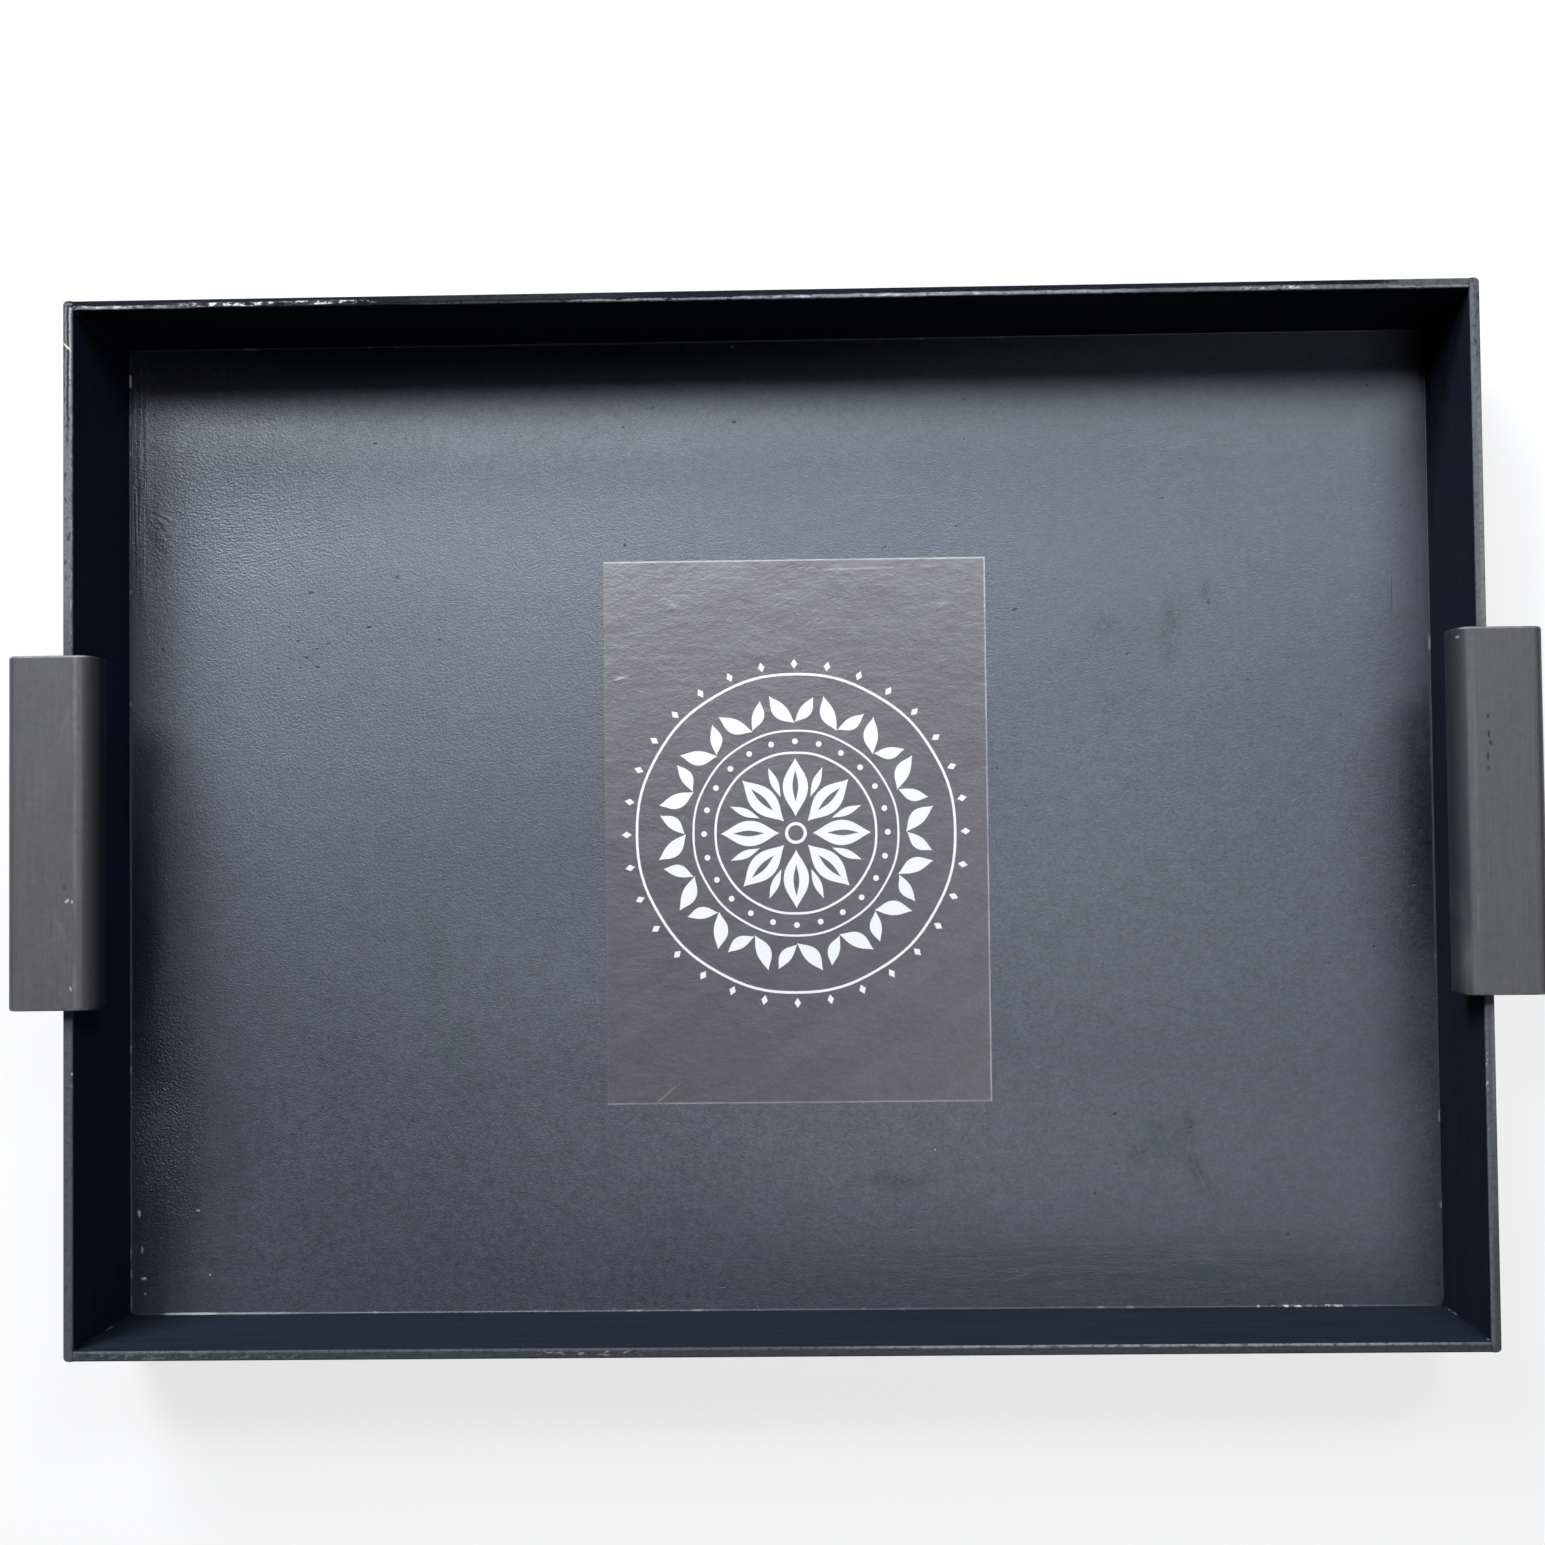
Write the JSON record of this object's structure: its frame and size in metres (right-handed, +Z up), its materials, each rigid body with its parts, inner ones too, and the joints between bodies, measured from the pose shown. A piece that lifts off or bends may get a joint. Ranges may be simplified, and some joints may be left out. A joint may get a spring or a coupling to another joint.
{
  "type": "serving tray",
  "caption": "Rectangular painted board serving tray with finger-jointed walls, a grooved wooden handle over each end wall and a clear film on its floor.",
  "frame": {"origin": "under the middle of the tray, on the flat underside that it stands on", "axes": "+X towards the right handle, +Y towards the back wall, +Z up"},
  "size_m": [0.548, 0.382, 0.0555],
  "materials": {
    "painted_board": "satin grey-blue paint over thin fibreboard, rolled on, with light wear on the rim",
    "painted_handle": "satin neutral grey paint over a wooden bar with rounded upper edges",
    "clear_film": null
  },
  "bodies": {
    "root": {"floor_panel": "painted_board", "front_wall": "painted_board", "back_wall": "painted_board", "right_wall": "painted_board", "left_wall": "painted_board", "right_handle": "painted_handle", "left_handle": "painted_handle", "clear_film": "clear_film"}
  },
  "joints": []
}
